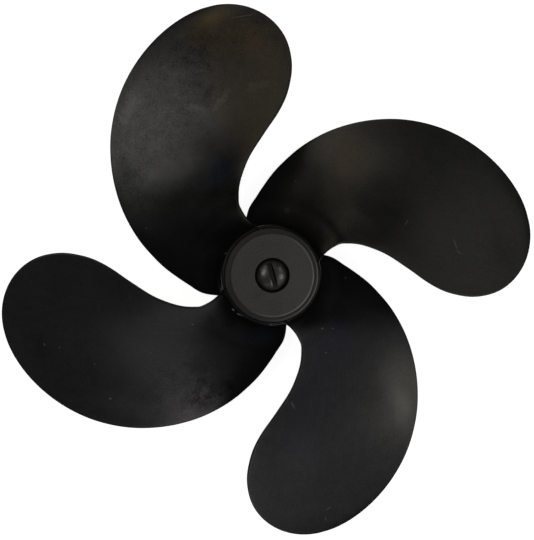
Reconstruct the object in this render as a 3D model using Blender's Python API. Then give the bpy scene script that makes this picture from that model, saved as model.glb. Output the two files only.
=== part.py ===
"""Four-blade propeller with highly skewed blades, a hub, a front cap and its centre screw.

The propeller lies on its rear hub face: +Z is the shaft axis, pointing out of the cap, and the
origin is the centre of the rear hub face. Lengths are in metres and angles in degrees.
"""

from math import asin, atan2, cos, pi, radians, sin, sqrt, tau

import bmesh
import bpy

# Driving dimensions
TIP_RADIUS = 0.145
BLADE_COUNT = 4
FIRST_TIP_ANGLE = 12.0
PITCH = 0.160
TIP_RAKE = 0.010
SEAT_GAP = 0.0003

# Hub barrel, with the shaft bore and the drive-pin slot in its rear face
HUB_RADIUS = 0.0255
HUB_HEIGHT = 0.0470
HUB_FRONT_CHAMFER = 0.0015
HUB_REAR_CHAMFER = 0.0015
BORE_RADIUS = 0.0100
BORE_DEPTH = 0.0340
BORE_CHAMFER = 0.0010
PIN_SLOT_WIDTH = 0.0080
PIN_SLOT_LENGTH = 0.0400
PIN_SLOT_DEPTH = 0.0080
SCREW_HOLE_RADIUS = 0.0043

# Front cap
CAP_RADIUS = 0.0234
CAP_HEIGHT = 0.0080
CAP_EDGE_RADIUS = 0.0012
CAP_FACE_RADIUS = 0.0206
CAP_FACE_STEP = 0.0006
CAP_SHOULDER_DROP = 0.0016
RECESS_RADIUS = 0.0087
RECESS_DEPTH = 0.0044

# Slotted pan-head screw M8
SCREW_HEAD_RADIUS = 0.0078
SCREW_HEAD_RIM = 0.0022
SCREW_DOME_RADIUS = 0.0115
SCREW_SHANK_RADIUS = 0.0040
SCREW_SHANK_LENGTH = 0.0240
SCREW_SLOT_WIDTH = 0.0025
SCREW_SLOT_LENGTH = 0.0300
SCREW_SLOT_DEPTH = 0.0026
SCREW_SLOT_ANGLE = 105.0

# Blade sections
BLADE_MID_HEIGHT = 0.0240
ROOT_THICKNESS = 0.0080
TIP_THICKNESS = 0.0026
EDGE_THICKNESS = 0.0012
ROOT_FILLET = 0.0045
CAMBER = 0.025
# How fast a section, and the fillet on it, grow from the edges to the middle: 0.5 is an ellipse
SECTION_FULLNESS = 0.8
FILLET_FULLNESS = 0.5

# Radius as a share of the tip radius, skew from the tip's radial line, and the half width,
# both in degrees. The half width is divided by the square root of the share left to the tip,
# which rounds the tip.
BLADE_STATIONS = (
    (0.175, 54.5, 55.6),
    (0.21, 54.3, 50.2),
    (0.25, 52.5, 47.3),
    (0.30, 46.8, 44.6),
    (0.40, 35.9, 46.5),
    (0.50, 26.0, 51.0),
    (0.60, 18.1, 54.9),
    (0.70, 12.4, 56.8),
    (0.80, 7.9, 57.8),
    (0.90, 3.9, 57.5),
    (1.00, 0.0, 54.2),
)

# Mesh steps
RADIAL_STEPS = 20
CHORD_STEPS = 14
ROOT_ROWS = 6
DOME_STEPS = 7
TIP_CUT = 0.03
CORNER_STEPS = 4
ROUND_SEGMENTS = 96
SMALL_SEGMENTS = 48
SMOOTH_ANGLE = 35.0
MERGE_DISTANCE = 0.00001

# Colour, roughness and metal share of each material
BLADE_FINISH = ((0.012, 0.011, 0.010), 0.38, 0.0)
CAP_FINISH = ((0.030, 0.028, 0.027), 0.62, 0.0)
SCREW_FINISH = ((0.060, 0.060, 0.062), 0.32, 1.0)


def clear_scene():
    """Removes whatever the open file holds."""
    for old in list(bpy.data.objects):
        bpy.data.objects.remove(old, do_unlink=True)


def make_material(name, colour, roughness, metallic):
    """Returns a Principled material with a plain colour."""
    material = bpy.data.materials.new(name)
    material.use_nodes = True
    shader = material.node_tree.nodes["Principled BSDF"]
    shader.inputs["Base Color"].default_value = (*colour, 1.0)
    shader.inputs["Roughness"].default_value = roughness
    shader.inputs["Metallic"].default_value = metallic
    return material


def add_object(name, shape, material):
    """Turns a bmesh into a smooth-shaded object in the scene."""
    bmesh.ops.recalc_face_normals(shape, faces=shape.faces)
    mesh = bpy.data.meshes.new(name)
    shape.to_mesh(mesh)
    shape.free()
    mesh.shade_smooth()
    mesh.set_sharp_from_angle(angle=radians(SMOOTH_ANGLE))
    made = bpy.data.objects.new(name, mesh)
    bpy.context.collection.objects.link(made)
    if material is not None:
        mesh.materials.append(material)
    return made


def turned(profile, segments):
    """Spins a profile of (radius, height) points about Z into a closed solid.

    The profile runs from the axis round the section and back to the axis.
    """
    shape = bmesh.new()
    points = [shape.verts.new((radius, 0.0, height)) for radius, height in profile]
    edges = [shape.edges.new(pair) for pair in zip(points, points[1:])]
    bmesh.ops.spin(
        shape, geom=points + edges, cent=(0.0, 0.0, 0.0), axis=(0.0, 0.0, 1.0),
        angle=tau, steps=segments, use_merge=True,
    )
    bmesh.ops.remove_doubles(shape, verts=shape.verts, dist=MERGE_DISTANCE)
    return shape


def slot_cutter(name, length, width, low, high, angle):
    """Makes a hidden box that a Boolean cuts away, centred on the axis and turned by angle."""
    shape = bmesh.new()
    bmesh.ops.create_cube(shape, size=1.0)
    bmesh.ops.scale(shape, vec=(length, width, high - low), verts=shape.verts)
    bmesh.ops.translate(shape, vec=(0.0, 0.0, (high + low) / 2), verts=shape.verts)
    cutter = add_object(name, shape, None)
    cutter.rotation_euler.z = radians(angle)
    cutter.hide_render = True
    cutter.display_type = "WIRE"
    return cutter


def cut(target, cutter):
    """Takes the cutter's shape out of the target."""
    boolean = target.modifiers.new(cutter.name, "BOOLEAN")
    boolean.operation = "DIFFERENCE"
    boolean.solver = "EXACT"
    boolean.object = cutter


def quarter_round(centre_radius, centre_height, size):
    """Returns points on an outer corner's quarter circle, from its top round to its outside."""
    angles = [radians(90.0 - 90.0 * step / CORNER_STEPS) for step in range(CORNER_STEPS + 1)]
    return [(centre_radius + size * cos(a), centre_height + size * sin(a)) for a in angles]


def make_hub(material):
    """Makes the barrel that the blades stand on, with its bore, screw hole and pin slot."""
    bore_corner = BORE_RADIUS + BORE_CHAMFER
    profile = [
        (SCREW_HOLE_RADIUS, HUB_HEIGHT),
        (HUB_RADIUS - HUB_FRONT_CHAMFER, HUB_HEIGHT),
        (HUB_RADIUS, HUB_HEIGHT - HUB_FRONT_CHAMFER),
        (HUB_RADIUS, HUB_REAR_CHAMFER),
        (HUB_RADIUS - HUB_REAR_CHAMFER, 0.0),
        (bore_corner, 0.0),
        (BORE_RADIUS, BORE_CHAMFER),
        (BORE_RADIUS, BORE_DEPTH),
        (SCREW_HOLE_RADIUS, BORE_DEPTH),
        (SCREW_HOLE_RADIUS, HUB_HEIGHT),
    ]
    hub = add_object("hub_barrel", turned(profile, ROUND_SEGMENTS), material)
    slot = slot_cutter(
        "pin_slot_cutter", PIN_SLOT_LENGTH, PIN_SLOT_WIDTH, -PIN_SLOT_DEPTH, PIN_SLOT_DEPTH, 0.0,
    )
    cut(hub, slot)
    return hub


def make_cap(material):
    """Makes the front disc: a raised face, a shoulder round it, and the screw's recess."""
    low = HUB_HEIGHT + SEAT_GAP
    high = low + CAP_HEIGHT
    floor = high - RECESS_DEPTH
    face_edge = quarter_round(CAP_FACE_RADIUS - CAP_FACE_STEP, high - CAP_FACE_STEP, CAP_FACE_STEP)
    outer_edge = quarter_round(
        CAP_RADIUS - CAP_EDGE_RADIUS, high - CAP_SHOULDER_DROP - CAP_EDGE_RADIUS, CAP_EDGE_RADIUS,
    )
    profile = [(SCREW_HOLE_RADIUS, floor), (RECESS_RADIUS, floor), (RECESS_RADIUS, high)]
    profile += face_edge + outer_edge
    profile += [(CAP_RADIUS, low), (SCREW_HOLE_RADIUS, low), (SCREW_HOLE_RADIUS, floor)]
    return add_object("hub_cap", turned(profile, ROUND_SEGMENTS), material)


def make_screw(material):
    """Makes the slotted screw in the cap's recess, whose head has a ball-shaped crown."""
    seat = HUB_HEIGHT + SEAT_GAP + CAP_HEIGHT - RECESS_DEPTH + SEAT_GAP
    dome_edge = asin(SCREW_HEAD_RADIUS / SCREW_DOME_RADIUS)
    dome_centre = seat + SCREW_HEAD_RIM - SCREW_DOME_RADIUS * cos(dome_edge)
    top = dome_centre + SCREW_DOME_RADIUS
    profile = [(0.0, seat - SCREW_SHANK_LENGTH), (SCREW_SHANK_RADIUS, seat - SCREW_SHANK_LENGTH)]
    profile += [(SCREW_SHANK_RADIUS, seat), (SCREW_HEAD_RADIUS, seat)]
    for step in range(DOME_STEPS + 1):
        angle = dome_edge * (1 - step / DOME_STEPS)
        height = dome_centre + SCREW_DOME_RADIUS * cos(angle)
        profile.append((SCREW_DOME_RADIUS * sin(angle), height))
    screw = add_object("cap_screw", turned(profile, SMALL_SEGMENTS), material)
    slot = slot_cutter(
        "screw_slot_cutter", SCREW_SLOT_LENGTH, SCREW_SLOT_WIDTH,
        top - SCREW_SLOT_DEPTH, top + SCREW_SLOT_DEPTH, SCREW_SLOT_ANGLE,
    )
    cut(screw, slot)
    return screw


def between_stations(share, column):
    """Reads a blade value at a share of the tip radius, on a smooth curve through the stations."""
    last = len(BLADE_STATIONS) - 1
    index = 0
    while index < last - 1 and share > BLADE_STATIONS[index + 1][0]:
        index += 1

    def slope(at):
        low, high = BLADE_STATIONS[max(at - 1, 0)], BLADE_STATIONS[min(at + 1, last)]
        return (high[column] - low[column]) / (high[0] - low[0])

    start, end = BLADE_STATIONS[index], BLADE_STATIONS[index + 1]
    width = end[0] - start[0]
    t = (share - start[0]) / width
    return (
        (1 + 2 * t) * (1 - t) ** 2 * start[column]
        + t * (1 - t) ** 2 * width * slope(index)
        + t * t * (3 - 2 * t) * end[column]
        + t * t * (t - 1) * width * slope(index + 1)
    )


def fillet_growth(radius, root_radius):
    """Returns what the root fillet adds to each side of the blade at a radius."""
    reach = min(radius - root_radius, ROOT_FILLET)
    return ROOT_FILLET - sqrt(ROOT_FILLET ** 2 - (ROOT_FILLET - reach) ** 2)


def section_sides(radius, root_radius, tip_angle):
    """Returns one blade section on its cylinder as (angle, height) points, front side and rear side.

    Each side runs from the trailing edge to the leading edge. The leading edge lies at the
    larger angle and lower along Z, so the propeller turns counter-clockwise seen from the cap.
    """
    share = radius / TIP_RADIUS
    skew = radians(tip_angle + between_stations(share, 1))
    half_width = radians(between_stations(share, 2) * sqrt(1 - share))
    lead = PITCH / tau
    pitch_angle = atan2(lead, radius)
    chord = 2 * half_width * radius / cos(pitch_angle)
    span = (radius - root_radius) / (TIP_RADIUS - root_radius)
    thickness = ROOT_THICKNESS + (TIP_THICKNESS - ROOT_THICKNESS) * span
    growth = fillet_growth(radius, root_radius)
    middle = BLADE_MID_HEIGHT - TIP_RAKE * span
    front, rear = [], []
    for step in range(CHORD_STEPS + 1):
        across = -cos(pi * step / CHORD_STEPS)
        fullness = 1 - across * across
        half = (EDGE_THICKNESS + (thickness - EDGE_THICKNESS) * fullness ** SECTION_FULLNESS) / 2
        half += growth * fullness ** FILLET_FULLNESS
        bulge = -CAMBER * chord * fullness
        for offset, side in ((bulge + half, front), (bulge - half, rear)):
            angle = skew + across * half_width + offset * sin(pitch_angle) / radius
            height = middle - lead * across * half_width + offset * cos(pitch_angle)
            side.append((angle, height))
    return front, rear


def add_row(shape, radius, side):
    """Adds a row of vertices at a radius from (angle, height) points."""
    return [shape.verts.new((radius * cos(a), radius * sin(a), height)) for a, height in side]


def join_rows(shape, first, second):
    """Joins two rows of vertices with a strip of quads."""
    for step in range(len(first) - 1):
        shape.faces.new((first[step], first[step + 1], second[step + 1], second[step]))


def make_blade(number, tip_angle, material):
    """Makes one blade from its root, just clear of the barrel, to its rounded tip."""
    root_radius = HUB_RADIUS + SEAT_GAP
    shape = bmesh.new()
    root_front, root_rear = section_sides(root_radius, root_radius, tip_angle)
    fronts, rears = [], []
    for step in range(RADIAL_STEPS + 1):
        travel = (1 - TIP_CUT) * step / RADIAL_STEPS
        radius = root_radius + (TIP_RADIUS - root_radius) * (1 - cos(pi * travel)) / 2
        front, rear = section_sides(radius, root_radius, tip_angle)
        fronts.append(add_row(shape, radius, front))
        rears.append(add_row(shape, radius, rear))
    for rows in (fronts, rears):
        for inner, outer in zip(rows, rows[1:]):
            join_rows(shape, inner, outer)
    join_rows(shape, fronts[-1], rears[-1])
    for end in (0, -1):
        join_rows(shape, [row[end] for row in fronts], [row[end] for row in rears])
    # The root's end is curved like the barrel, so rows between its two sides follow the cylinder.
    through = [fronts[0]]
    for row in range(1, ROOT_ROWS):
        blend = row / ROOT_ROWS
        side = [
            (a + (b - a) * blend, low + (high - low) * blend)
            for (a, low), (b, high) in zip(root_front, root_rear)
        ]
        through.append(add_row(shape, root_radius, side))
    through.append(rears[0])
    for first, second in zip(through, through[1:]):
        join_rows(shape, first, second)
    for end in (0, -1):
        shape.faces.new([row[end] for row in through])
    return add_object(f"blade_{number}", shape, material)


def main():
    """Builds the propeller."""
    clear_scene()
    blade_black = make_material("blade_black", *BLADE_FINISH)
    cap_black = make_material("cap_black", *CAP_FINISH)
    screw_steel = make_material("screw_steel", *SCREW_FINISH)
    make_hub(blade_black)
    for index in range(BLADE_COUNT):
        tip_angle = FIRST_TIP_ANGLE + 360.0 / BLADE_COUNT * index
        make_blade(index + 1, tip_angle, blade_black)
    make_cap(cap_black)
    make_screw(screw_steel)


main()
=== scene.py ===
"""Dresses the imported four-blade propeller for its picture.

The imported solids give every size. This script adds the fine shapes over them, which are blades
with rounded edges and root fillets, a turned barrel, a stepped cap and a threaded screw, and the
finishes of each. Lengths are in metres unless a name says millimetres.
"""

import ast
import logging
from collections.abc import Sequence
from dataclasses import dataclass, field
from enum import Enum
from math import asin, cos, pi, radians, sin, tan, tau

import bmesh
import bpy
from mathutils import Euler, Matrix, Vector

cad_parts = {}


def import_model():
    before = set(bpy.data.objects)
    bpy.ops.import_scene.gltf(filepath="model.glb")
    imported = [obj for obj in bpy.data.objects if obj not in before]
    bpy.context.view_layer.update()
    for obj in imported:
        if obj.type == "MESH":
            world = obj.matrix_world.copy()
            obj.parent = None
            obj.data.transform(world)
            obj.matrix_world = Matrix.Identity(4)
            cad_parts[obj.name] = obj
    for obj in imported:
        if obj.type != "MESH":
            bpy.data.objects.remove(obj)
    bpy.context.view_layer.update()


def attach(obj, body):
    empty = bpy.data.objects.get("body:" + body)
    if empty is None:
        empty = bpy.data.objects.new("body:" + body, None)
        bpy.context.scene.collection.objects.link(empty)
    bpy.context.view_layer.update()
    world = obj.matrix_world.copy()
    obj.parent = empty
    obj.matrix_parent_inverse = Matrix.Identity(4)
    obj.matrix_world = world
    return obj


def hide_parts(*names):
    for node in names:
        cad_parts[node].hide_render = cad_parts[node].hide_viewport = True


Finish = bpy.types.Material
Node = bpy.types.Node
Socket = bpy.types.NodeSocket
Thing = bpy.types.Object
Tree = bpy.types.NodeTree
Value = Socket | float | tuple[float, ...]
Point = tuple[float, float]
Rings = list[list[Vector]]
BODY = "root"
LOG = logging.getLogger("propeller")
RAMP = ("From Min", "From Max", "To Min", "To Max")
# Millimetres in a metre
THOUSAND = 1000.0
# Points closer together than this, in metres, are one point.
TOUCHING = 0.000001
# Edges of a turned piece that bend by more than this show as edges.
CREASE = radians(35)
# Edges of a cut slot that bend by more than this are eased, in this many steps.
EASED = radians(50)
EASING_STEPS = 2
# Millimetres, and far more than the propeller's height, so that marks go straight through it.
THROUGH = 1000000.0


class Slot(Enum):
    """The record's material slots."""

    HUB = "hub_black"
    BLADE = "blade_black"
    CAP = "cap_black"
    SCREW = "screw_steel"


class MathOperation(Enum):
    """The words and signs of a written formula, with the Math node's operation for each."""

    Add = "ADD"
    Sub = "SUBTRACT"
    Mult = "MULTIPLY"
    Div = "DIVIDE"
    Pow = "POWER"
    sin = "SINE"
    cos = "COSINE"
    atan2 = "ARCTAN2"
    sqrt = "SQRT"
    abs = "ABSOLUTE"
    sign = "SIGN"
    min = "MINIMUM"
    max = "MAXIMUM"
    above = "GREATER_THAN"


def linear(colour: str) -> tuple[float, float, float, float]:
    """Turns an sRGB hex colour to linear.

    Args:
        colour: Six hex digits after a hash.

    Returns:
        Red, green, blue and an alpha of one.
    """
    light = []
    for start in (1, 3, 5):
        part = int(colour[start:start + 2], 16) / 255
        # The numbers are the sRGB standard's.
        light.append(part / 12.92 if part <= 0.04045 else ((part + 0.055) / 1.055) ** 2.4)
    return (*light, 1.0)


def add_node(
    tree: Tree,
    kind: str,
    inputs: dict[str | int, Value] | None = None,
    **settings: object,
) -> Node:
    """Adds a node with its settings and links.

    Args:
        tree: The tree that gets the node.
        kind: The node's Blender type.
        inputs: For each input, by name or place, the socket that feeds it or its own value.
        **settings: Properties of the node.

    Returns:
        The node.
    """
    node = tree.nodes.new(kind)
    for name, setting in settings.items():
        setattr(node, name, setting)
    for key, value in (inputs or {}).items():
        if isinstance(value, Socket):
            tree.links.new(value, node.inputs[key])
        else:
            node.inputs[key].default_value = value
    return node


def formula(tree: Tree, text: str, **names: Socket | float) -> Socket:
    """Adds the Math nodes of a written formula.

    Args:
        tree: The tree that gets the nodes.
        text: The formula, with the words of MathOperation as its functions.
        **names: What each name in the formula stands for.

    Returns:
        The formula's result.
    """

    def value(part: ast.AST) -> Socket | float:
        """Works out one part of the formula.

        Args:
            part: The part.

        Returns:
            Its number, or the socket that gives it.
        """
        if isinstance(part, ast.Constant):
            return float(part.value)
        if isinstance(part, ast.Name):
            return names[part.id]
        if isinstance(part, ast.Call):
            word, parts = part.func.id, part.args
        elif isinstance(part, ast.UnaryOp):
            word, parts = "Mult", [part.operand, ast.Constant(-1.0)]
        else:
            word, parts = type(part.op).__name__, [part.left, part.right]
        fed = dict(enumerate(value(inner) for inner in parts))
        return add_node(tree, "ShaderNodeMath", fed, operation=MathOperation[word].value).outputs[0]

    return value(ast.parse(text).body[0].value)


def placed(name: str, data: bpy.types.ID) -> Thing:
    """Puts an object in the scene.

    Args:
        name: Its name.
        data: Its mesh, lamp or camera.

    Returns:
        The object.
    """
    thing = bpy.data.objects.new(name, data)
    bpy.context.collection.objects.link(thing)
    return thing


@dataclass
class Workings:
    """The named values of a node tree, from which formulas make more."""

    tree: Tree
    known: dict[str, object]

    def add(self, **formulas: str) -> None:
        """Works out formulas in order and keeps each result under its name.

        Args:
            **formulas: The formulas, which may use every name known so far.
        """
        for name, text in formulas.items():
            self.known[name] = formula(self.tree, text, **self.known)

    def __getitem__(self, name: str) -> Socket:
        """Returns the value of that name."""
        return self.known[name]


def settle(
    name: str, source: Thing, nodes: Sequence[str], creased: bool = False,
) -> Thing:
    """Turns an object with modifiers into a finished plain piece.

    Args:
        name: The finished piece's name.
        source: The object, which is removed, as is what cuts it.
        nodes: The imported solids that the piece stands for.
        creased: Whether its sharp edges show as edges.

    Returns:
        The piece, riding on the body.
    """
    graph = bpy.context.evaluated_depsgraph_get()
    mesh = bpy.data.meshes.new_from_object(source.evaluated_get(graph))
    mesh.name = name
    finish = [material for material in mesh.materials if material]
    mesh.materials.clear()
    mesh.materials.append(finish[0])
    mesh.polygons.foreach_set("material_index", [0] * len(mesh.polygons))
    if creased:
        mesh.set_sharp_from_angle(angle=CREASE)
    cutters = [step.object for step in source.modifiers if step.type == "BOOLEAN"]
    for spent in (source, *cutters):
        bpy.data.objects.remove(spent)
    piece = placed(name, mesh)
    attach(piece, BODY)
    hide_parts(*nodes)
    return piece


@dataclass(frozen=True)
class Corner:
    """A corner of a turned profile."""

    radius: float
    height: float
    rounding: float = 0.0

    def place(self) -> Vector:
        """Returns the corner as a point of the profile's plane."""
        return Vector((self.radius, self.height))


def rounded(corners: Sequence[Corner], steps: int = 6) -> list[Point]:
    """Rounds the corners of a closed profile.

    Args:
        corners: The profile's corners in order.
        steps: Segments in each rounded corner.

    Returns:
        Points of (radius, height).
    """
    points = []
    for index, corner in enumerate(corners):
        here = corner.place()
        back = (corners[index - 1].place() - here).normalized()
        ahead = (corners[(index + 1) % len(corners)].place() - here).normalized()
        if corner.rounding == 0:
            points.append(tuple(here))
            continue
        half = back.angle(ahead) / 2
        reach = corner.rounding / tan(half)
        centre = here + (back + ahead).normalized() * (corner.rounding / sin(half))
        first = (here + back * reach - centre).normalized()
        last = (here + ahead * reach - centre).normalized()
        arc = [first.slerp(last, step / steps) for step in range(steps + 1)]
        points += [tuple(centre + way * corner.rounding) for way in arc]
    return points


def ringed(
    name: str, rings: Sequence[Sequence[Vector]], finish: Finish, closed: bool = True,
) -> Thing:
    """Makes a smooth object whose skin runs through rings of points.

    Args:
        name: The object's name.
        rings: The rings, each with the same number of points.
        finish: Its material.
        closed: Whether the last ring joins the first. Otherwise those two shrink to a point.

    Returns:
        The object, in the scene.
    """
    shape = bmesh.new()
    rows = [[shape.verts.new(point) for point in ring] for ring in rings]
    for first, second in zip(rows, rows[1:] + (rows[:1] if closed else [])):
        for a, b, c, d in zip(first, first[1:] + first[:1], second[1:] + second[:1], second):
            shape.faces.new((a, b, c, d))
    bmesh.ops.remove_doubles(shape, verts=shape.verts, dist=TOUCHING)
    bmesh.ops.recalc_face_normals(shape, faces=shape.faces)
    mesh = bpy.data.meshes.new(name)
    shape.to_mesh(mesh)
    shape.free()
    mesh.materials.append(finish)
    mesh.shade_smooth()
    return placed(name, mesh)


def turned(profile: Sequence[Point], segments: int) -> Rings:
    """Returns the rings of a profile turned about the shaft axis.

    Args:
        profile: Points of (radius, height).
        segments: Points in each ring.

    Returns:
        One ring for each point of the profile.
    """
    turns = [tau * step / segments for step in range(segments)]
    return [
        [Vector((radius * cos(a), radius * sin(a), height)) for a in turns]
        for radius, height in profile
    ]


@dataclass(frozen=True)
class Cut:
    """A straight slot through the shaft axis.

    It runs from its low to its high end, and its turn is measured from the X axis, in degrees.
    """

    length: float
    width: float
    low: float
    high: float
    turn: float
    # The width of its eased edges
    edge: float

    def make(self, target: Thing) -> None:
        """Cuts the slot and eases its edges.

        Args:
            target: The object to cut.
        """
        shape = bmesh.new()
        bmesh.ops.create_cube(shape, size=1.0)
        size = (self.length, self.width, self.high - self.low)
        middle = (0.0, 0.0, (self.low + self.high) / 2)
        bmesh.ops.scale(shape, vec=size, verts=shape.verts)
        bmesh.ops.translate(shape, vec=middle, verts=shape.verts)
        matrix = Euler((0, 0, radians(self.turn))).to_matrix()
        bmesh.ops.rotate(shape, matrix=matrix, verts=shape.verts)
        mesh = bpy.data.meshes.new("slot_cutter")
        shape.to_mesh(mesh)
        shape.free()
        boolean = target.modifiers.new("slot", "BOOLEAN")
        boolean.solver = "EXACT"
        boolean.object = placed("slot_cutter", mesh)
        bevel = target.modifiers.new("edge", "BEVEL")
        bevel.width = self.edge
        bevel.segments = EASING_STEPS
        bevel.angle_limit = EASED


@dataclass(frozen=True)
class Mark:
    """An oval mark as seen from the front.

    Its middle and half sizes are in millimetres, and its turn is in degrees.
    """

    x: float
    y: float
    long: float
    short: float
    turn: float
    strength: float


Marks = tuple[Mark, ...]


def ovals(*rows: tuple[float, ...]) -> Marks:
    """Returns the marks of rows that give x, y, long, short, turn and strength in order."""
    return tuple(Mark(*row) for row in rows)


def stamped(tree: Tree, place: Socket, marks: Marks, soft: float) -> Socket:
    """Adds up marks that fade out towards their border.

    Args:
        tree: The tree that gets the marks.
        place: The place on the surface, in millimetres.
        marks: The marks.
        soft: The share of a mark's size that it fades over.

    Returns:
        The sum of the strengths of the marks that lie on each point.
    """
    total = None
    for mark in marks:
        oval = {
            "Vector": place,
            "Location": (mark.x, mark.y, 0.0),
            "Rotation": (0.0, 0.0, radians(mark.turn)),
            "Scale": (mark.long, mark.short, THROUGH),
        }
        inside = add_node(tree, "ShaderNodeMapping", oval, vector_type="TEXTURE").outputs[0]
        away = add_node(tree, "ShaderNodeVectorMath", {0: inside}, operation="LENGTH")
        fade = dict(zip(RAMP, (1.0 - soft, 1.0, mark.strength, 0.0)), Value=away.outputs["Value"])
        ramp = add_node(tree, "ShaderNodeMapRange", fade, interpolation_type="SMOOTHSTEP")
        stamp = ramp.outputs[0]
        total = stamp if total is None else formula(tree, "sum + stamp", sum=total, stamp=stamp)
    return total


@dataclass
class Paint:
    """A new material with its shader, and the surface's place in millimetres."""

    name: str

    def __post_init__(self) -> None:
        """Makes the material."""
        self.material = bpy.data.materials.new(self.name)
        self.material.use_nodes = True
        self.tree = self.material.node_tree
        self.shader = self.tree.nodes["Principled BSDF"]
        place = add_node(self.tree, "ShaderNodeTexCoord").outputs["Object"]
        in_millimetres = {"Vector": place, "Scale": (THOUSAND,) * 3}
        self.place = add_node(self.tree, "ShaderNodeMapping", in_millimetres).outputs[0]

    def clouded(self, place: Socket, size: float, detail: float) -> Socket:
        """Returns a cloudy pattern from -1 to 1.

        Args:
            place: The place on the surface, in millimetres.
            size: How large the pattern's blots are, in millimetres.
            detail: How many finer layers it has.

        Returns:
            The pattern, which is 0 on average.
        """
        blots = add_node(
            self.tree, "ShaderNodeTexNoise",
            {"Vector": place, "Scale": 1 / size, "Detail": detail, "Roughness": 0.6},
        )
        return formula(self.tree, "(blots - 0.5) * 2", blots=blots.outputs[0])

    def wobbled(self, size: float, reach: float) -> Socket:
        """Returns the place shifted about by a pattern, so that marks get ragged outlines.

        Args:
            size: How large the pattern's blots are, in millimetres.
            reach: How far it shifts, in millimetres.

        Returns:
            The shifted place, in millimetres.
        """
        settings = {"Vector": self.place, "Scale": 1 / size, "Detail": 3.0}
        shift = add_node(self.tree, "ShaderNodeTexNoise", settings).outputs["Color"]
        for operation, inputs in (
            ("SUBTRACT", {1: (0.5, 0.5, 0.5)}),
            ("SCALE", {"Scale": reach * 2}),
            ("ADD", {1: self.place}),
        ):
            inputs[0] = shift
            step = add_node(self.tree, "ShaderNodeVectorMath", inputs, operation=operation)
            shift = step.outputs[0]
        return shift

    def layered(self, under: Socket | str, over: str, share: Socket) -> Socket:
        """Lays a colour over another.

        Args:
            under: The colour beneath.
            over: The colour on top.
            share: How much the one on top covers.

        Returns:
            The mixed colour.
        """
        beneath = linear(under) if isinstance(under, str) else under
        inputs = {"Factor": share, 6: beneath, 7: linear(over)}
        return add_node(self.tree, "ShaderNodeMix", inputs, data_type="RGBA").outputs[2]

    def feed(self, **sockets: Socket) -> None:
        """Joins patterns to the shader's inputs, whose names have _ for a space."""
        for name, socket in sockets.items():
            self.tree.links.new(socket, self.shader.inputs[name.replace("_", " ")])


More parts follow.
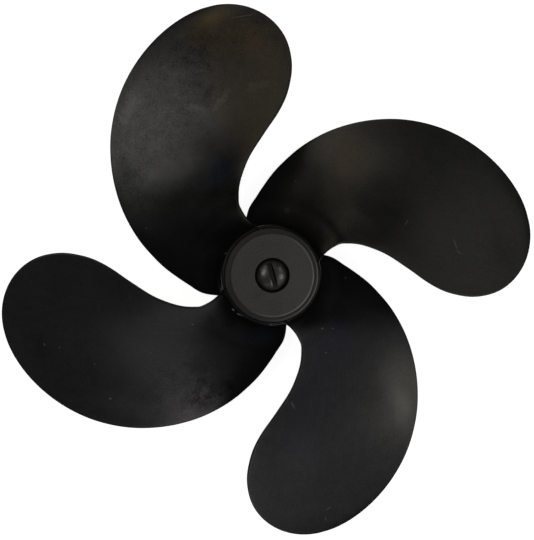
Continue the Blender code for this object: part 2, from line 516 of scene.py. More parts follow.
@dataclass(frozen=True)
class MouldedNylon:
    """Black glass-filled nylon as it leaves a polished mould, after some use.

    The mould gives a satin skin that mirrors the lamps as broad soft patches. Its gloss drifts in
    clouds, and in faint streaks where the melt ran along the blade. Use has left a brown film near
    one tip, a ragged stain, pale specks and a few hairlines.
    """

    name: str = "moulded_black_nylon"
    black: str = "#0b0b0b"
    film: str = "#5a4a22"
    blue_film: str = "#0d1528"
    dust: str = "#8f8f8a"
    rubbed: str = "#3a3a38"
    ior: float = 1.53
    roughness: float = 0.29
    cloud_roughness: float = 0.04
    mottle_roughness: float = 0.04
    dust_roughness: float = 0.3
    # The shader's specular level where the gloss is one, and the least gloss anywhere
    level: float = 0.5
    least_gloss: float = 0.1
    # The gloss, and how far each pattern moves it
    gloss: float = 1.08
    cloud_gloss: float = 0.25
    mottle_gloss: float = 0.20
    worn_mottle_gloss: float = 0.45
    grain_gloss: float = 0.45
    worn_grain_gloss: float = 0.50
    streak_gloss: float = 0.13
    hub_gloss: float = 0.5
    grime_gloss: float = 0.3
    # How far a face must lean to the front to carry marks, and how fast they come in
    front_from: float = 0.15
    front_rise: float = 8.0
    # Millimetres from the shaft axis where the root's grime ends and the rubbed rim begins, and
    # how far each takes to fade
    grime_from: float = 24.0
    grime_reach: float = 12.0
    rim_from: float = 32.0
    rim_reach: float = 24.0
    rim_cover: float = 0.42
    rim_patches: float = 0.6
    # Millimetres. The real grain, of some 0.05, is drawn as coarse as one and a half picture
    # points, or it wouldn't show.
    cloud_size: float = 34.0
    mottle_size: float = 5.0
    grain_size: float = 0.8
    streak_width: float = 1.3
    streak_length: float = 45.0
    rim_width: float = 0.7
    # Metres
    relief: float = 0.00004
    clouds: Marks = ovals(
        # Blade 2, where the left window shows: a bright patch by a dark bluish one
        (-48, 56, 25, 14, 25, 1.8), (-74, 56, 8, 14, 0, -0.4), (-27, 78, 14, 20, 0, 0.4),
        (-12, 122, 34, 20, 0, -0.24), (-48, 69, 20, 12, 0, 0.4), (-28, 40, 13, 10, 0, -0.5),
        (-34, 78, 34, 15, 57, 0.24), (-21, 54, 19, 14, 60, -0.72), (-14, 41, 12, 14, 0, -1.0),
        (-36, 122, 36, 15, 12, -0.34), (-71, 92, 26, 9, 72, 0.3), (-36, 30, 20, 14, 0, 0.5),
        # Blade 1
        (44, 64, 18, 13, 70, -0.22), (49, 27, 19, 13, 0, 1.3), (58, 38, 16, 10, 0, 0.35),
        (16, 46, 15, 11, 40, 0.45), (28, 19, 11, 10, 0, -0.5), (127, 12, 12, 17, 10, -0.22),
        # Blade 3
        (-44, -49, 15, 12, 0, 0.28), (-38, -40, 12, 10, 0, 0.35), (-80, -70, 26, 10, -15, 0.35),
        (-34, -70, 14, 9, 20, -0.62), (-27, -38, 19, 14, 30, 0.4), (-124, -38, 10, 20, 10, -0.25),
        # Blade 4
        (75, -75, 9, 19, 10, 0.62), (57, -66, 13, 22, 10, -0.34), (17, -100, 18, 24, 10, 0.2),
        (25, -137, 26, 11, 0, -0.22),
    )
    films: Marks = ovals(
        (-27, 137, 17, 7, 12, 0.7), (-24, 126, 34, 15, -10, 0.28), (-4, 118, 20, 13, 120, 0.26),
        (44, 62, 20, 9, 75, 0.24),
    )
    blue_films: Marks = ovals(
        (-26, 55, 18, 12, 55, 0.8), (36, -34, 20, 12, 40, 0.7), (-4, -34, 16, 8, 20, 0.7),
    )
    # Fine scuffs that catch the light
    worn: Marks = ovals(
        (-55, 80, 62, 36, 65, 1), (-20, 125, 45, 22, 10, 0.5), (-45, -60, 30, 22, 30, 0.7),
    )
    stains: Marks = ovals(
        (-43, -68, 8, 5, 30, -0.36), (-37, -60, 7, 4, 60, -0.34), (-25, -61, 9, 6, 10, -0.42),
        (-32, -66, 4, 2.5, 0, -0.3), (-31, 93, 8, 3.4, 75, -0.32), (-35, 98, 8, 2.6, -35, -0.14),
        (-24, 91, 9, 2.4, 52, 0.48), (-37, 88, 8, 2.8, -20, 0.4), (-74, 90, 13, 4, 70, 0.4),
        (-5, 98, 9, 2.6, 15, 0.3),
    )
    specks: Marks = ovals(
        (-120.4, -36.2, 1.4, 0.4, 110, 0.35), (-112.3, -37.9, 0.5, 0.5, 0, 0.4),
        (-93.8, -47.2, 0.5, 0.5, 0, 0.35), (-86.1, -66.7, 0.9, 0.6, 30, 0.5),
        (-63.2, -40.7, 0.5, 0.4, 0, 0.35), (-40.4, -25.3, 0.5, 0.5, 0, 0.5),
        (42.7, -2, 0.5, 0.5, 0, 0.8), (27.6, -28.2, 0.6, 0.5, 0, 0.8),
        (33.5, -28.6, 0.5, 0.4, 0, 0.5), (29.7, -41.1, 0.5, 0.5, 0, 0.5),
        (15.5, 49.8, 0.5, 0.4, 0, 0.6), (-65.2, 25.6, 0.5, 0.5, 0, 0.4),
        (-12, 135.6, 9, 0.35, 6, 0.22), (73.1, 26.9, 2.6, 0.3, 60, 0.3),
        (99.7, 15.5, 4, 0.3, 105, 0.4), (101.5, 11, 2.6, 0.3, 140, 0.3),
        (32.7, -128.6, 2.2, 0.3, 35, 0.35), (31.3, -134.7, 1.6, 0.3, 100, 0.3),
        (11.8, -68.5, 3.2, 0.6, 115, 0.25),
        # Scuffs on the barrel's front edge
        (-19.4, -17.6, 1, 0.4, 140, 0.9), (-16, -20.2, 1.9, 0.4, 160, 0.8),
        (-0.4, -25.4, 0.7, 0.5, 0, 0.8), (-22.9, 11.4, 0.5, 0.4, 0, 0.8),
    )
    pits: Marks = ovals(
        (-63.1, 104.7, 0.8, 0.5, 140, -0.8), (-71.3, 95.9, 0.6, 0.6, 0, -0.7),
        (-71.8, 89.2, 0.7, 0.5, 0, -0.7), (-77, 86.7, 0.5, 0.5, 0, -0.6),
        (-70.2, 56.2, 0.5, 0.5, 0, -0.6), (-52.1, 74.7, 2.8, 0.3, 45, -0.5),
    )
    ring: Marks = ovals(
        (10.2, 34, 1.5, 1.5, 0, 0.11), (10.2, 34, 1, 1, 0, -0.09),
    )

    def material(self, blade: bool) -> Finish:
        """Makes the material.

        Args:
            blade: Whether it is for a blade, which has streaks and a rubbed edge.

        Returns:
            The material.
        """
        paint = Paint(self.name if blade else f"{self.name}_hub")
        tree = paint.tree
        paint.shader.inputs["IOR"].default_value = self.ior
        normal = add_node(tree, "ShaderNodeTexCoord").outputs["Normal"]
        ragged = paint.wobbled(self.mottle_size / 2, self.mottle_size)
        drifting = paint.wobbled(self.cloud_size / 2, self.mottle_size)
        skin = Workings(tree, {
            **vars(self),
            "cloud": paint.clouded(paint.place, self.cloud_size, detail=3.0),
            "mottle": paint.clouded(paint.place, self.mottle_size, detail=4.0),
            "grain": paint.clouded(paint.place, self.grain_size, detail=2.0),
            "facing": add_node(tree, "ShaderNodeSeparateXYZ", {0: normal}).outputs["Z"],
            "wear": stamped(tree, drifting, self.worn, soft=0.6),
            "drift": stamped(tree, drifting, self.clouds, soft=1.0),
            "stain": stamped(tree, ragged, self.stains, soft=0.5),
            "pit": stamped(tree, paint.place, self.pits, soft=0.6),
            "speck": stamped(tree, paint.place, self.specks, soft=0.6),
            "brown": stamped(tree, drifting, self.films, soft=1.0),
            "bluish": stamped(tree, drifting, self.blue_films, soft=1.0),
        })
        skin.add(
            # Dirt and wear lie on what faces the front. They don't show behind, and their marks
            # don't run down the barrel's side.
            front="max(min((facing - front_from) * front_rise, 1), 0)",
            sheen="gloss + cloud_gloss * cloud"
            " + (mottle_gloss + worn_mottle_gloss * wear) * mottle"
            " + (grain_gloss + worn_grain_gloss * wear) * grain"
            " + (drift + stain + pit) * front",
            dirt="speck * front",
            brown="brown * front",
            bluish="bluish * front",
        )
        if blade:
            flow = add_node(tree, "ShaderNodeAttribute", attribute_name="flow").outputs["Vector"]
            widths = {"Vector": flow, "Scale": (1 / self.streak_width, 1 / self.streak_length, 0.0)}
            stretched = add_node(tree, "ShaderNodeMapping", widths).outputs[0]
            parts = add_node(tree, "ShaderNodeSeparateXYZ", {0: flow}).outputs
            skin.known.update(
                across=parts["X"], along=parts["Y"], inward=parts["Z"],
                streak=paint.clouded(stretched, 1.0, detail=3.0),
                drop=stamped(tree, paint.place, self.ring, soft=0.3),
            )
            skin.add(
                # Grime gathers by the hub and dulls the root.
                sheen="(sheen + streak_gloss * streak)"
                " * min(max((along - grime_from) / grime_reach, grime_gloss), 1)",
                # The hollow trailing edge is rubbed pale away from the hub. The full leading edge
                # isn't.
                rim="max(1 - inward / rim_width, 0) * above(0, across)"
                " * (rim_cover + rim_patches * mottle)"
                " * min(max((along - rim_from) / rim_reach, 0), 1)",
                # A drop has dried to a ring: a large spot with most of a smaller one taken out.
                dirt="dirt + max(drop, 0)",
            )
        else:
            skin.add(sheen="hub_gloss * sheen")
        colour = paint.layered(self.black, self.film, skin["brown"])
        colour = paint.layered(colour, self.blue_film, skin["bluish"])
        if blade:
            colour = paint.layered(colour, self.rubbed, skin["rim"])
        skin.add(
            shine="level * max(sheen, least_gloss)",
            rough="roughness + cloud_roughness * cloud + mottle_roughness * mottle"
            " + dust_roughness * dirt",
        )
        relief = {"Height": skin["grain"], "Strength": 0.15, "Distance": self.relief}
        paint.feed(
            Base_Color=paint.layered(colour, self.dust, skin["dirt"]),
            Specular_IOR_Level=skin["shine"],
            Roughness=skin["rough"],
            Normal=add_node(tree, "ShaderNodeBump", relief).outputs[0],
        )
        return paint.material


@dataclass(frozen=True)
class TurnedAcetal:
    """Charcoal acetal, turned and then handled: matte and paler than the blades.

    Dust sits in the turned grain of its face and makes that the palest part. Its step and shoulder
    stay dark, and its two edges are rubbed to a thin pale line on the side that gets handled.
    """

    name: str = "turned_charcoal_acetal"
    charcoal: str = "#2c2b2a"
    face: str = "#5a5956"
    edge: str = "#a09f9b"
    ior: float = 1.48
    roughness: float = 0.55
    # Millimetres. The turned grain, of some 0.1, is drawn at 0.7 so that it shows.
    grain_size: float = 0.7
    smudge_size: float = 9.0
    recess_radius: float = 8.75
    face_radius: float = 20.6
    outer_radius: float = 22.8
    line_width: float = 0.55
    dust_fade: float = 0.4
    # Metres
    relief: float = 0.00004
    # How much dust lies on the face, and how far the grain and the smudges move that
    dust: float = 0.78
    grain_dust: float = 1.1
    smudge_dust: float = 0.22
    # The edge lines: how pale, how much more so on the handled side, and how patchy
    line: float = 0.30
    handled_line: float = 0.70
    least_line: float = 0.1
    line_cover: float = 0.8
    line_patches: float = 0.5
    outer_line: float = 0.5
    # Degrees from the X axis
    handled_side: float = -25.0
    smudges: Marks = ovals(
        (-7.5, -9.5, 6.5, 3, 20, -0.2), (-12, 4, 12, 22, 0, -0.08), (15, -3, 20, 30, 0, 0.24),
        (0, -16, 10, 6, 0, -0.1),
    )

    def material(self) -> Finish:
        """Makes the material.

        Returns:
            The material.
        """
        paint = Paint(self.name)
        tree = paint.tree
        paint.shader.inputs["IOR"].default_value = self.ior
        paint.shader.inputs["Roughness"].default_value = self.roughness
        parts = add_node(tree, "ShaderNodeSeparateXYZ", {0: paint.place}).outputs
        turn = radians(self.handled_side)
        skin = Workings(tree, {
            **vars(self),
            "x": parts["X"], "y": parts["Y"], "handled_x": cos(turn), "handled_y": sin(turn),
            "grain": paint.clouded(paint.place, self.grain_size, detail=2.0),
            "smudge": paint.clouded(paint.place, self.smudge_size, detail=4.0),
            "wiped": stamped(tree, paint.place, self.smudges, soft=1.0),
        })
        skin.add(
            away="sqrt(x * x + y * y)",
            top="above(away, recess_radius) * max(min((face_radius - away) / dust_fade, 1), 0)",
            dusty="top * (dust + grain_dust * grain + smudge_dust * smudge + wiped)",
            side="(x * handled_x + y * handled_y) / max(away, 1)",
            lines="max(1 - abs(away - face_radius) / line_width, 0)"
            " * max(line + handled_line * side, least_line)"
            " * (line_cover + line_patches * smudge)"
            " + max(1 - abs(away - outer_radius) / line_width, 0)"
            " * max(side, 0) ** 2 * outer_line",
        )
        colour = paint.layered(self.charcoal, self.face, skin["dusty"])
        relief = {"Height": skin["grain"], "Strength": 0.2, "Distance": self.relief}
        paint.feed(
            Base_Color=paint.layered(colour, self.edge, skin["lines"]),
            Normal=add_node(tree, "ShaderNodeBump", relief).outputs[0],
        )
        return paint.material


@dataclass(frozen=True)
class BlackenedSteel:
    """Steel with a black oxide, which a driver and a thumb have rubbed bright on the crown.

    The crown mirrors the two windows as tall highlights. The oxide left on the rim is matte, and
    grime keeps the slot's corners almost black.
    """

    name: str = "oxide_blackened_steel"
    steel: str = "#666563"
    bright: str = "#c9c6c0"
    grime: str = "#141312"
    roughness: float = 0.17
    rub_roughness: float = 0.05
    oxide_roughness: float = 1.2
    # How much oxide is left on the rim and on the crown, and how patchy it and its border are
    rim_oxide: float = 0.3
    crown_oxide: float = 0.08
    patchy_oxide: float = 0.2
    # Millimetres
    ragged: float = 0.8
    rub_size: float = 1.6
    crown_radius: float = 5.4
    rim_radius: float = 9.5
    slot_corners: Marks = ovals(
        (1.12, 0.30, 9, 0.42, 105, 1), (-1.22, 0.45, 9, 0.22, 106, 0.8),
        (0, 0.35, 9, 1.3, 105, 0.5),
    )
    rubs: Marks = ovals((-0.45, -3.4, 2.4, 0.45, 105, 1))
    oxide: Marks = ovals(
        (0.6, 6, 7, 3, 0, 0.28), (-0.6, -6.2, 6, 2.4, 0, 0.2), (-7, 0.5, 2, 6, 0, 0.32),
    )

    def material(self) -> Finish:
        """Makes the material.

        Returns:
            The material.
        """
        paint = Paint(self.name)
        tree = paint.tree
        paint.shader.inputs["Metallic"].default_value = 1.0
        parts = add_node(tree, "ShaderNodeSeparateXYZ", {0: paint.place}).outputs
        skin = Workings(tree, {
            **vars(self),
            "x": parts["X"], "y": parts["Y"],
            "rub": paint.clouded(paint.place, self.rub_size, detail=3.0),
            "left": stamped(tree, paint.place, self.oxide, soft=0.7),
        })
        skin.add(
            out="(sqrt(x * x + y * y) - crown_radius + ragged * rub) / (rim_radius - crown_radius)",
            black="max(min(out, 1), 0) * rim_oxide + crown_oxide + patchy_oxide * rub + left",
            rough="roughness + rub_roughness * rub + oxide_roughness * black",
        )
        colour = self.steel
        for shade, share in (
            (self.bright, stamped(tree, paint.place, self.rubs, soft=0.8)),
            (self.grime, skin["black"]),
            (self.grime, stamped(tree, paint.place, self.slot_corners, soft=0.5)),
        ):
            colour = paint.layered(colour, shade, share)
        paint.feed(Base_Color=colour, Roughness=skin["rough"])
        return paint.material


@dataclass(frozen=True)
class Station:
    """A blade section's place and width at a share of the tip radius.

    The skew is measured from the tip's radial line. The width is half the section's angle round
    the axis, over the square root of the share that is left to the tip. Both are in degrees.
    """

    share: float
    skew: float
    width: float


@dataclass
class Blades:
    """The four blades, each one body with a rounded edge and a fillet at its root."""

    hub_radius: float = 0.0255
    tip_radius: float = 0.1449
    pitch: float = 0.160
    rake: float = 0.010
    mid_height: float = 0.0240
    root_thickness: float = 0.0080
    tip_thickness: float = 0.0026
    edge_thickness: float = 0.0012
    fillet: float = 0.0045
    camber: float = 0.025
    # How far the first row is tucked into the hub
    root_tuck: float = 0.0015
    # Towards the tip the thickness fades from this share of its radius, over this share
    thin_from: float = 0.85
    thin_reach: float = 0.15
    # The power that rounds a section off, from 0.5 for an oval to 1 for a lens
    roundness: float = 0.8
    # Square metres: it keeps a division by zero away
    tiny: float = 0.000000000001
    first_tip_angle: float = 12.0
    count: int = 4
    rows: int = 104
    loop: int = 128
    # Degrees at the top of the curves' scale
    widest: float = 60.0
    stations: tuple[Station, ...] = (
        Station(0.175, 54.5, 55.6),
        Station(0.21, 54.3, 50.2),
        Station(0.25, 52.5, 47.3),
        Station(0.30, 46.8, 44.6),
        Station(0.40, 35.9, 46.5),
        Station(0.50, 26.0, 51.0),
        Station(0.60, 18.1, 54.9),
        Station(0.70, 12.4, 56.8),
        Station(0.80, 7.9, 57.8),
        Station(0.90, 3.9, 57.5),
        Station(1.00, 0.0, 54.2),
    )

    def sizes(self) -> dict[str, float]:
        """Returns the tree's named sizes and their values."""
        return {
            "Hub Radius": self.hub_radius,
            "Tip Radius": self.tip_radius,
            "Lead": self.pitch / tau,
            "Rake": self.rake,
            "Mid Height": self.mid_height,
            "Root Thickness": self.root_thickness,
            "Tip Thickness": self.tip_thickness,
            "Edge Thickness": self.edge_thickness,
            "Fillet": self.fillet,
            "Camber": self.camber,
            "Root Tuck": self.root_tuck,
        }

    def curve(self, tree: Tree, share: Socket, points: Sequence[Point]) -> Socket:
        """Adds a smooth curve through the stations.

        Args:
            tree: The tree that gets the curve.
            share: The share of the tip radius to read it at.
            points: The stations' share and value, in degrees.

        Returns:
            The curve's value in radians.
        """
        node = add_node(tree, "ShaderNodeFloatCurve", {"Value": share})
        line = node.mapping.curves[0]
        while len(line.points) < len(points):
            line.points.new(0.5, 0.5)
        for point, (at, degrees) in zip(line.points, points):
            point.location = (at, degrees / self.widest)
            point.handle_type = "AUTO"
        node.mapping.update()
        return formula(tree, "value * widest", value=node.outputs[0], widest=radians(self.widest))

    def tree(self) -> Tree:
        """Builds the rule that makes one blade from its named sizes.

        Returns:
            A tree whose grid is wound round the sections. Its rows go from the hub to the tip, and
            its columns go from the trailing edge over the front, and back behind.
        """
        tree = bpy.data.node_groups.new("propeller_blade", "GeometryNodeTree")
        sockets = {name: "Float" for name in (*self.sizes(), "Tip Angle")}
        for name, kind in {**sockets, "Finish": "Material"}.items():
            tree.interface.new_socket(name, in_out="INPUT", socket_type=f"NodeSocket{kind}")
        tree.interface.new_socket("Blade", in_out="OUTPUT", socket_type="NodeSocketGeometry")
        given = add_node(tree, "NodeGroupInput").outputs
        counts = {"Vertices X": self.rows, "Vertices Y": self.loop + 1}
        grid = add_node(tree, "GeometryNodeMeshGrid", {"Size X": 1.0, "Size Y": 1.0, **counts})
        at = add_node(tree, "GeometryNodeInputPosition").outputs[0]
        place = add_node(tree, "ShaderNodeSeparateXYZ", {0: at}).outputs
        rule = Workings(tree, {
            **vars(self),
            **{name.lower().replace(" ", "_"): given[name] for name in sockets},
            "x": place["X"], "y": place["Y"], "last": self.rows - 1.0, "tau": tau,
            "step": pi / (self.rows - 2), "thousand": THOUSAND,
        })
        rule.add(
            row="(x + 0.5) * last",
            # The first row has no thickness, which closes the root.
            tucked="1 - min(row, 1)",
            travel="max(row - 1, 0) * step",
            radius="hub_radius + (tip_radius - hub_radius) * (1 - cos(travel)) / 2"
            " - root_tuck * tucked",
            share="radius / tip_radius",
            span="(radius - hub_radius) / (tip_radius - hub_radius)",
            turn="(y + 0.5) * tau",
            across="-cos(turn)",
            fullness="1 - across * across",
        )
        for name in ("skew", "width"):
            points = [(station.share, getattr(station, name)) for station in self.stations]
            rule.known[name] = self.curve(tree, rule["share"], points)
        rule.add(
            half_width="width * sqrt(max(1 - share, 0))",
            slope="atan2(lead, radius)",
            half_chord="half_width * radius / cos(slope)",
            # How far a point is from the blade's outline, along the section and towards the tip
            inward="(1 - abs(across)) * half_chord",
            left="tip_radius - radius",
            depth="inward * left / sqrt(inward * inward + left * left + tiny)",
            bite="1 - min(2 * depth / edge_thickness, 1)",
            rim="edge_thickness * sqrt(max(1 - bite * bite, 0))",
            thickness="root_thickness + (tip_thickness - root_thickness) * span",
            fading="1 - (max(share - thin_from, 0) / thin_reach) ** 2",
            reach="max(min(radius - hub_radius, fillet), 0)",
            growth="fillet - sqrt(fillet * fillet - (fillet - reach) ** 2)",
            half="(1 - tucked) * (rim / 2 + (thickness - edge_thickness) / 2 * fading"
            " * fullness ** roundness + growth * sqrt(fullness))",
            offset="half * sign(sin(turn)) - camber * 2 * half_chord * fullness",
            angle="tip_angle + skew + across * half_width + offset * sin(slope) / radius",
            height="mid_height - rake * span - lead * across * half_width + offset * cos(slope)",
        )
        point, flow = [
            add_node(
                tree, "ShaderNodeCombineXYZ",
                {axis: formula(tree, text, **rule.known) for axis, text in enumerate(texts)},
            )
            for texts in (
                ("radius * cos(angle)", "radius * sin(angle)", "height"),
                # Millimetres from the blade's middle line, from the shaft axis and from its edge
                ("across * half_chord * thousand", "radius * thousand", "depth * thousand"),
            )
        ]
        shape = grid.outputs["Mesh"]
        for kind, inputs, settings in (
            (
                "GeometryNodeStoreNamedAttribute",
                {"Name": "flow", "Value": flow.outputs[0]},
                {"data_type": "FLOAT_VECTOR", "domain": "POINT"},
            ),
            ("GeometryNodeSetPosition", {"Position": point.outputs[0]}, {}),
            ("GeometryNodeMergeByDistance", {"Distance": TOUCHING}, {}),
            ("GeometryNodeRealizeInstances", {}, {}),
            ("GeometryNodeSetShadeSmooth", {}, {}),
            ("GeometryNodeSetMaterial", {"Material": given["Finish"]}, {}),
        ):
            shape = add_node(tree, kind, {0: shape, **inputs}, **settings).outputs[0]
        add_node(tree, "NodeGroupOutput", {0: shape})
        return tree

    def build(self, finish: Finish) -> list[Thing]:
        """Makes the blades.

        Args:
            finish: Their material.

        Returns:
            One piece for each blade.
        """
        tree = self.tree()
        items = tree.interface.items_tree
        sockets = {item.name: item.identifier for item in items if item.in_out == "INPUT"}
        made = []
        for index in range(self.count):
            name = f"blade_{index + 1}"
            source = placed(f"{name}_source", bpy.data.meshes.new(name))
            rule = source.modifiers.new("rule", "NODES")
            rule.node_group = tree
            angle = radians(self.first_tip_angle + 360.0 / self.count * index)
            for label, value in {**self.sizes(), "Tip Angle": angle, "Finish": finish}.items():
                rule[sockets[label]] = value
            made.append(settle(f"{name}_moulding", source, [name]))
        return made


@dataclass
class TurnedPiece:
    """What the pieces round the shaft axis share: their names, their turning and their slots."""

    name: str
    node: str
    slot: Slot
    closed: bool = True
    segments: int = 192

    def rings(self) -> Rings:
        """Returns the rings that the piece's skin runs through."""
        raise NotImplementedError

    def cuts(self) -> list[Cut]:
        """Returns the slots in the piece."""
        return []

    def build(self, finish: Finish) -> Thing:
        """Makes the piece.

        Args:
            finish: Its material.

        Returns:
            The piece.
        """
        source = ringed(f"{self.name}_source", self.rings(), finish, self.closed)
        for each in self.cuts():
            each.make(source)
        return settle(self.name, source, [self.node], creased=True)


@dataclass
class HubBarrel(TurnedPiece):
    """The barrel that the blades stand on, with the shaft bore and the drive-pin slot behind."""

    name: str = "hub_barrel_moulding"
    node: str = "hub_barrel"
    slot: Slot = Slot.HUB
    radius: float = 0.0255
    height: float = 0.0470
    front_rounding: float = 0.0015
    rear_rounding: float = 0.0014
    mouth_rounding: float = 0.0009
    end_rounding: float = 0.0005
    hole_rounding: float = 0.0003
    slot_edge: float = 0.0003
    bore_radius: float = 0.0100
    bore_depth: float = 0.0340
    screw_hole_radius: float = 0.0043
    slot_length: float = 0.0400
    slot_width: float = 0.0080
    slot_depth: float = 0.0080

    def rings(self) -> Rings:
        """Draws the barrel and its bore.

        Returns:
            Their rings.
        """
        profile = rounded([
            Corner(self.screw_hole_radius, self.height, self.hole_rounding),
            Corner(self.radius, self.height, self.front_rounding),
            Corner(self.radius, 0.0, self.rear_rounding),
            Corner(self.bore_radius, 0.0, self.mouth_rounding),
            Corner(self.bore_radius, self.bore_depth, self.end_rounding),
            Corner(self.screw_hole_radius, self.bore_depth, self.hole_rounding),
        ])
        return turned(profile, self.segments)

    def cuts(self) -> list[Cut]:
        """Returns the slot for the drive pin."""
        ends = (-self.slot_depth, self.slot_depth)
        return [Cut(self.slot_length, self.slot_width, *ends, turn=0.0, edge=self.slot_edge)]


@dataclass
class FrontCap(TurnedPiece):
    """The disc over the hub's front, with a raised face, a shoulder and the screw's recess."""

    name: str = "front_cap"
    node: str = "hub_cap"
    slot: Slot = Slot.CAP
    low: float = 0.0473
    high: float = 0.0553
    radius: float = 0.0234
    edge_rounding: float = 0.0010
    face_radius: float = 0.0208
    face_rounding: float = 0.0004
    step_radius: float = 0.0211
    step_depth: float = 0.0009
    step_rounding: float = 0.0003
    rear_rounding: float = 0.0002
    shoulder_drop: float = 0.0017
    recess_radius: float = 0.0087
    recess_depth: float = 0.0044
    recess_rounding: float = 0.00025
    floor_rounding: float = 0.0004
    screw_hole_radius: float = 0.0043

    def rings(self) -> Rings:
        """Draws the cap.

        Returns:
            Its rings.
        """
        shoulder = self.high - self.shoulder_drop
        floor = self.high - self.recess_depth
        profile = rounded([
            Corner(self.screw_hole_radius, floor),
            Corner(self.recess_radius, floor, self.floor_rounding),
            Corner(self.recess_radius, self.high, self.recess_rounding),
            Corner(self.face_radius, self.high, self.face_rounding),
            Corner(self.step_radius, self.high - self.step_depth, self.step_rounding),
            Corner(self.radius, shoulder, self.edge_rounding),
            Corner(self.radius, self.low, self.rear_rounding),
            Corner(self.screw_hole_radius, self.low),
        ])
        return turned(profile, self.segments)


@dataclass
class CapScrew(TurnedPiece):
    """The slotted pan-head screw, M8, with its thread."""

    name: str = "cap_screw_m8"
    node: str = "cap_screw"
    slot: Slot = Slot.SCREW
    closed: bool = False
    seat: float = 0.0512
    head_radius: float = 0.0078
    head_edge: float = 0.0003
    rim: float = 0.0022
    dome_radius: float = 0.0115
    shank_radius: float = 0.0040
    shank_length: float = 0.0240
    lead: float = 0.00125
    thread_depth: float = 0.0006
    # How far the thread takes to rise under the head, and to fade at the end
    thread_start: float = 0.0020
    thread_end: float = 0.0010
    slot_width: float = 0.0025
    slot_depth: float = 0.0026
    slot_angle: float = 105.0
    slot_edge: float = 0.00012
    segments: int = 96
    dome_steps: int = 24
    rows_per_turn: int = 8

    def slant(self) -> float:
        """Returns the crown's angle from its top to its rim, about its ball's centre."""
        return asin(self.head_radius / self.dome_radius)

    def centre(self) -> float:
        """Returns the height of the ball that the crown is a part of."""
        return self.seat + self.rim - self.dome_radius * cos(self.slant())

    def head(self) -> Rings:
        """Draws the head.

        Returns:
            Its rings, from its top down to its seat.
        """
        profile = []
        for step in range(self.dome_steps + 1):
            a = self.slant() * step / self.dome_steps
            profile.append((self.dome_radius * sin(a), self.centre() + self.dome_radius * cos(a)))
        profile += [
            (self.head_radius, self.seat + self.head_edge),
            (self.head_radius - self.head_edge, self.seat),
            (self.shank_radius - self.thread_depth, self.seat),
        ]
        return turned(profile, self.segments)

    def thread(self) -> Rings:
        """Draws the shank, whose radius rises and falls along a helix.

        Returns:
            Its rings, from the head down.
        """
        rings = []
        count = round(self.shank_length / self.lead * self.rows_per_turn)
        for row in range(count + 1):
            down = self.shank_length * row / count
            up = self.shank_length - down
            ease = min(1.0, down / self.thread_start, up / self.thread_end)
            ring = []
            for step in range(self.segments):
                phase = (down / self.lead + step / self.segments) % 1.0
                ridge = 1 - abs(2 * phase - 1)
                radius = self.shank_radius - self.thread_depth * (1 - ease * ridge)
                a = tau * step / self.segments
                ring.append(Vector((radius * cos(a), radius * sin(a), self.seat - down)))
            rings.append(ring)
        rings.append([Vector((0.0, 0.0, self.seat - self.shank_length))] * self.segments)
        return rings

    def rings(self) -> Rings:
        """Returns the rings of the head and the shank."""
        return self.head() + self.thread()

    def cuts(self) -> list[Cut]:
        """Draws the driver's slot, longer than the head is wide so that it runs right across.

        Returns:
            The slot.
        """
        top = self.centre() + self.dome_radius
        ends = (top - self.slot_depth, top + self.slot_depth)
        length = 4 * self.head_radius
        return [Cut(length, self.slot_width, *ends, turn=self.slot_angle, edge=self.slot_edge)]


@dataclass(frozen=True)
class Softbox:
    """A soft lamp that looks at the propeller's middle.

    Its azimuth is measured from the X axis and its slant from straight above, in degrees. Its
    width runs round the shaft axis and its height up and down, in metres. It stands at its
    distance from a point at the height aim.
    """

    name: str
    azimuth: float
    slant: float
    width: float
    height: float
    power: float
    tint: str
    distance: float = 1.0
    aim: float = 0.03

    def build(self) -> None:
        """Puts the lamp in the scene."""
        data = bpy.data.lights.new(self.name, "AREA")
        data.shape = "RECTANGLE"
        data.size = self.width
        data.size_y = self.height
        data.energy = self.power
        data.color = linear(self.tint)[:3]
        lamp = placed(self.name, data)
        turn, tilt = radians(self.azimuth), radians(self.slant)
        way = Vector((sin(tilt) * cos(turn), sin(tilt) * sin(turn), cos(tilt)))
        lamp.location = way * self.distance + Vector((0.0, 0.0, self.aim))
        lamp.rotation_euler = Euler((tilt, 0.0, turn + pi / 2))


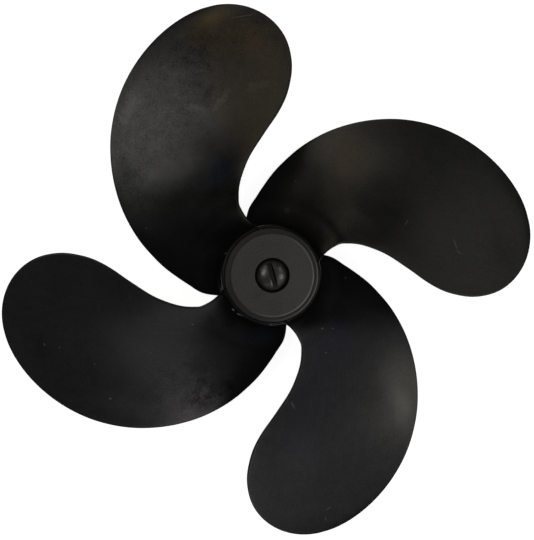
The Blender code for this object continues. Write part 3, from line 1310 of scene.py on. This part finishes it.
@dataclass
class Studio:
    """The pale floor, the soft lamps and the camera."""

    eye: tuple[float, float, float] = (-0.0339, 0.0043, 0.5640)
    tilt: tuple[float, float, float] = (-4.396, -1.869, -0.546)
    # Millimetres
    lens: float = 67.81
    sensor: float = 36.0
    shift: Point = (0.0543, 0.14)
    floor_size: float = 40.0
    floor_colour: str = "#f4f4f4"
    floor_roughness: float = 0.9
    floor_glow: float = 0.92
    white: str = "#ffffff"
    # The room above is dim down to this slant in degrees, and dark below it, as a photographer's
    # tent is. The softness is in the height on a ball of radius one.
    room_edge: float = 62.0
    room_softness: float = 0.07
    room_light: float = 0.142
    room_dark: float = 0.01
    # The floor doesn't show in reflections. This light from below stands in for it there, and
    # grows between these two heights on a ball of radius one.
    room_below: float = 0.80
    below_heights: Point = (-0.6, -0.9)
    lamps: list[Softbox] = field(default_factory=lambda: [
        Softbox("left_window", 160.0, 44.0, 0.50, 0.32, 0.631, "#fffdf6"),
        Softbox("upper_left_lamp", 122.0, 55.0, 0.40, 0.30, 0.195, "#ffe0ae"),
        Softbox("upper_lamp", 100.0, 56.0, 0.30, 0.30, 0.151, "#fff7e1"),
        Softbox("top_lamp", 82.0, 60.0, 0.35, 0.35, 0.259, "#fff0d3"),
        Softbox("upper_right_lamp", 34.0, 55.0, 0.50, 0.40, 0.184, "#fffbea"),
        Softbox("right_window", -10.0, 50.0, 0.30, 0.30, 0.336, "#fff8e0"),
        Softbox("wide_lamp", -23.0, 61.0, 1.10, 1.00, 0.798, "#f3f0ff"),
        Softbox("lower_lamp", -77.0, 55.0, 0.40, 0.30, 0.563, "#fff7f8"),
        Softbox("lower_left_lamp", -111.0, 66.0, 0.50, 0.40, 0.292, "#fffdff"),
    ])

    def add_camera(self) -> None:
        """Puts the camera where the photograph was taken from."""
        data = bpy.data.cameras.new("camera")
        data.lens = self.lens
        data.sensor_width = self.sensor
        data.shift_x, data.shift_y = self.shift
        camera = placed("camera", data)
        camera.location = self.eye
        camera.rotation_euler = [radians(angle) for angle in self.tilt]
        bpy.context.scene.camera = camera

    def add_floor(self) -> None:
        """Lays the floor, which is lit from within a little, as a light table is."""
        half = self.floor_size / 2
        corners = [(-half, -half, 0), (half, -half, 0), (half, half, 0), (-half, half, 0)]
        mesh = bpy.data.meshes.new("floor")
        mesh.from_pydata(corners, [], [(0, 1, 2, 3)])
        floor = placed("floor", mesh)
        made = bpy.data.materials.new("light_table")
        made.use_nodes = True
        tree = made.node_tree
        shader = tree.nodes["Principled BSDF"]
        # Nothing of it shows from below, so that the propeller's rear can be looked at.
        behind = add_node(tree, "ShaderNodeNewGeometry").outputs["Backfacing"]
        tree.links.new(formula(tree, "1 - behind", behind=behind), shader.inputs["Alpha"])
        for name, value in {
            "Base Color": linear(self.floor_colour),
            "Roughness": self.floor_roughness,
            "Emission Color": linear(self.white),
            "Emission Strength": self.floor_glow,
        }.items():
            shader.inputs[name].default_value = value
        mesh.materials.append(made)
        floor.visible_glossy = False

    def add_world(self) -> None:
        """Lights the room dimly from above and brightly from below, before a white backdrop."""
        world = bpy.data.worlds.new("room")
        world.use_nodes = True
        tree = world.node_tree
        way = add_node(tree, "ShaderNodeTexCoord").outputs["Generated"]
        height = add_node(tree, "ShaderNodeSeparateXYZ", {0: way}).outputs["Z"]
        edge, soft = cos(radians(self.room_edge)), self.room_softness
        dome, below = [
            add_node(
                tree, "ShaderNodeMapRange", dict(zip(RAMP, limits), Value=height),
                interpolation_type="SMOOTHSTEP",
            ).outputs[0]
            for limits in (
                (edge - soft, edge + soft, self.room_dark, self.room_light),
                (*self.below_heights, 0.0, self.room_below),
            )
        ]
        seen = add_node(tree, "ShaderNodeLightPath").outputs["Is Camera Ray"]
        strength = formula(tree, "max(max(dome, below), seen)", dome=dome, below=below, seen=seen)
        background = tree.nodes["Background"]
        background.inputs["Color"].default_value = linear(self.white)
        tree.links.new(strength, background.inputs["Strength"])
        bpy.context.scene.world = world

    def build(self) -> None:
        """Sets the whole studio."""
        self.add_camera()
        self.add_floor()
        self.add_world()
        for lamp in self.lamps:
            lamp.build()
        bpy.context.scene.view_settings.view_transform = "Standard"


def main() -> None:
    """Builds the studio and every piece, and keeps the sizes before and after."""
    logging.basicConfig(level=logging.INFO, format="%(name)s %(message)s")
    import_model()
    Studio().build()
    nylon = MouldedNylon()
    pieces = [
        *Blades().build(nylon.material(blade=True)),
        HubBarrel().build(nylon.material(blade=False)),
        FrontCap().build(TurnedAcetal().material()),
        CapScrew().build(BlackenedSteel().material()),
    ]
    for piece in pieces:
        LOG.info("%s: %d faces", piece.name, len(piece.data.polygons))


if __name__ == "__main__":
    main()
